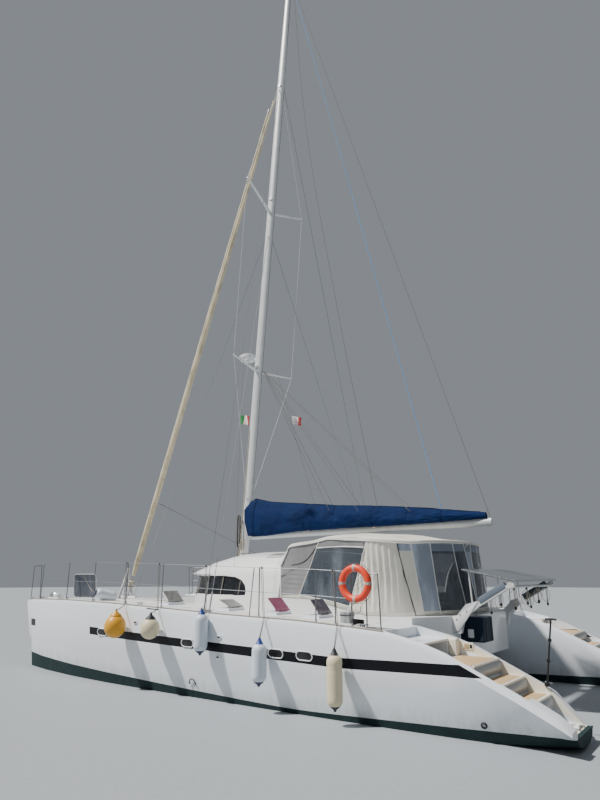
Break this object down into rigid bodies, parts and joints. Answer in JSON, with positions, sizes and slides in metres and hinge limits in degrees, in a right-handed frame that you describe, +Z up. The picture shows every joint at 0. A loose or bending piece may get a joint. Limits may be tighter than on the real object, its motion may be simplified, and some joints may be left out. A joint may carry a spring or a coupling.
{
  "type": "sailing catamaran",
  "caption": "Cruising sailing catamaran with raked mast, furled headsail, covered boom, stern steps and a canvas cockpit enclosure, afloat",
  "frame": {"origin": "amidships on the centreline, at the water surface the boat floats in", "axes": "X runs forward to the bows, Y to port, Z up along the height of the rig"},
  "size_m": [17.06, 9.6507, 27.9],
  "materials": {
    "gelcoat": "white gelcoat, slightly chalked",
    "alloy": "white painted and bare alloy",
    "steel": "polished stainless",
    "netting": "woven net",
    "canvas": "weathered cream and grey canvas",
    "canvas_blue": "faded blue canvas",
    "sailcloth": "rolled sailcloth",
    "window_glass": "dark tinted",
    "tinted_acrylic": "tinted acrylic",
    "solar": "framed cells",
    "orange": "orange with pale bands",
    "yellow_vinyl": "yellow vinyl",
    "cream_vinyl": "aged cream vinyl",
    "white_vinyl": "white vinyl",
    "teak": "oiled teak",
    "upholstery": "pale upholstery",
    "antifouling": "dark antifouling",
    "bronze": "bronze",
    "engine": "painted iron"
  },
  "bodies": {
    "platform": {"hull_port": "gelcoat", "hull_starboard": "gelcoat", "helm_console_port": "gelcoat", "helm_console_starboard": "gelcoat", "bridge_deck": "gelcoat", "saloon_house": "gelcoat", "saloon_bulkhead": "gelcoat", "saloon_galley": "gelcoat", "centre_walkway": "gelcoat", "radar_dome": "gelcoat", "front_beam": "alloy", "davits": "alloy", "mast": "alloy", "diamond_rig_port": "alloy", "diamond_rig_starboard": "alloy", "canopy_frame": "steel", "inner_stay": "steel", "cap_shroud_port": "steel", "cap_shroud_starboard": "steel", "lower_shroud_port": "steel", "lower_shroud_starboard": "steel", "rail_port": "steel", "rail_starboard": "steel", "net_port": "netting", "net_starboard": "netting", "canopy_roof": "canvas", "canopy_aft": "canvas", "canopy_side_port": "canvas", "canopy_side_starboard": "canvas", "stern_locker": "canvas_blue", "forestay_genoa": "sailcloth", "saloon_window_band": "window_glass", "solar_panel": "solar", "life_ring": "orange", "fender_yellow": "yellow_vinyl", "fender_cream_round": "cream_vinyl", "fender_cream_long": "cream_vinyl", "fender_white_fore": "white_vinyl", "fender_white_aft": "white_vinyl", "cockpit_table": "teak", "saloon_settee": "upholstery", "engine_and_drive_port": "engine", "engine_and_drive_starboard": "engine"},
    "boom": {"boom": "alloy", "sail_cover": "canvas_blue"},
    "saloon_door": {"saloon_door": "window_glass"},
    "rudder_port": {"rudder_port": "antifouling"},
    "rudder_starboard": {"rudder_starboard": "antifouling"},
    "propeller_port": {"propeller_port": "bronze"},
    "propeller_starboard": {"propeller_starboard": "bronze"},
    "helm_wheel_port": {"helm_wheel_port": "steel"},
    "helm_wheel_starboard": {"helm_wheel_starboard": "steel"},
    "hatch_lid_port_1": {"hatch_lid_port_1": "tinted_acrylic"},
    "hatch_lid_starboard_1": {"hatch_lid_starboard_1": "tinted_acrylic"},
    "hatch_lid_port_2": {"hatch_lid_port_2": "tinted_acrylic"},
    "hatch_lid_starboard_2": {"hatch_lid_starboard_2": "tinted_acrylic"},
    "hatch_lid_port_3": {"hatch_lid_port_3": "tinted_acrylic"},
    "hatch_lid_starboard_3": {"hatch_lid_starboard_3": "tinted_acrylic"},
    "hatch_lid_port_4": {"hatch_lid_port_4": "tinted_acrylic"},
    "hatch_lid_starboard_4": {"hatch_lid_starboard_4": "tinted_acrylic"}
  },
  "joints": [
    {"name": "boom_swing", "type": "hinge", "parent": "platform", "child": "boom", "pos_m": [1.92, 0, 3.96], "axis": [-0.074, 0, 0.9973], "range_deg": [-50, 50]},
    {"name": "saloon_door_slide", "type": "slide", "parent": "platform", "child": "saloon_door", "axis": [0, -1, 0], "range_m": [0, 1.3]},
    {"name": "rudder_port_turn", "type": "hinge", "parent": "platform", "child": "rudder_port", "pos_m": [-7.05, 3.55, 0], "axis": [0, 0, 1], "range_deg": [-35, 35]},
    {"name": "rudder_starboard_turn", "type": "hinge", "parent": "platform", "child": "rudder_starboard", "pos_m": [-7.05, -3.55, 0], "axis": [0, 0, 1], "range_deg": [-35, 35]},
    {"name": "helm_wheel_port_turn", "type": "hinge", "parent": "platform", "child": "helm_wheel_port", "pos_m": [-4.7, 1.75, 2.45], "axis": [1, 0, 0], "range_deg": [-351, 351]},
    {"name": "helm_wheel_starboard_turn", "type": "hinge", "parent": "platform", "child": "helm_wheel_starboard", "pos_m": [-4.7, -1.75, 2.45], "axis": [1, 0, 0], "range_deg": [-351, 351]},
    {"name": "propeller_port_turn", "type": "hinge", "parent": "platform", "child": "propeller_port", "pos_m": [-5.8, 3.55, -0.9], "axis": [1, 0, 0], "continuous": true},
    {"name": "propeller_starboard_turn", "type": "hinge", "parent": "platform", "child": "propeller_starboard", "pos_m": [-5.8, -3.55, -0.9], "axis": [1, 0, 0], "continuous": true},
    {"name": "hatch_port_1_open", "type": "hinge", "parent": "platform", "child": "hatch_lid_port_1", "pos_m": [1.546, 3.45, 2.05444], "axis": [0, -1, 0], "range_deg": [-41, 45]},
    {"name": "hatch_starboard_1_open", "type": "hinge", "parent": "platform", "child": "hatch_lid_starboard_1", "pos_m": [1.546, -3.45, 2.05444], "axis": [0, -1, 0], "range_deg": [-41, 45]},
    {"name": "hatch_port_2_open", "type": "hinge", "parent": "platform", "child": "hatch_lid_port_2", "pos_m": [-0.624, 3.45, 1.97942], "axis": [0, -1, 0], "range_deg": [-22, 45]},
    {"name": "hatch_starboard_2_open", "type": "hinge", "parent": "platform", "child": "hatch_lid_starboard_2", "pos_m": [-0.624, -3.45, 1.97942], "axis": [0, -1, 0], "range_deg": [-22, 45]},
    {"name": "hatch_port_3_open", "type": "hinge", "parent": "platform", "child": "hatch_lid_port_3", "pos_m": [-2.104, 3.45, 1.93665], "axis": [0, -1, 0], "range_deg": [-43, 45]},
    {"name": "hatch_starboard_3_open", "type": "hinge", "parent": "platform", "child": "hatch_lid_starboard_3", "pos_m": [-2.104, -3.45, 1.93665], "axis": [0, -1, 0], "range_deg": [-43, 45]},
    {"name": "hatch_port_4_open", "type": "hinge", "parent": "platform", "child": "hatch_lid_port_4", "pos_m": [-3.299, 3.45, 1.9082], "axis": [0, -1, 0], "range_deg": [-48, 45]},
    {"name": "hatch_starboard_4_open", "type": "hinge", "parent": "platform", "child": "hatch_lid_starboard_4", "pos_m": [-3.299, -3.45, 1.9082], "axis": [0, -1, 0], "range_deg": [-48, 45]}
  ],
  "couplings": [
    {"joint": "rudder_starboard_turn", "follows": "rudder_port_turn", "ratio": 1},
    {"joint": "helm_wheel_port_turn", "follows": "rudder_port_turn", "ratio": 10},
    {"joint": "helm_wheel_starboard_turn", "follows": "rudder_port_turn", "ratio": 10}
  ]
}
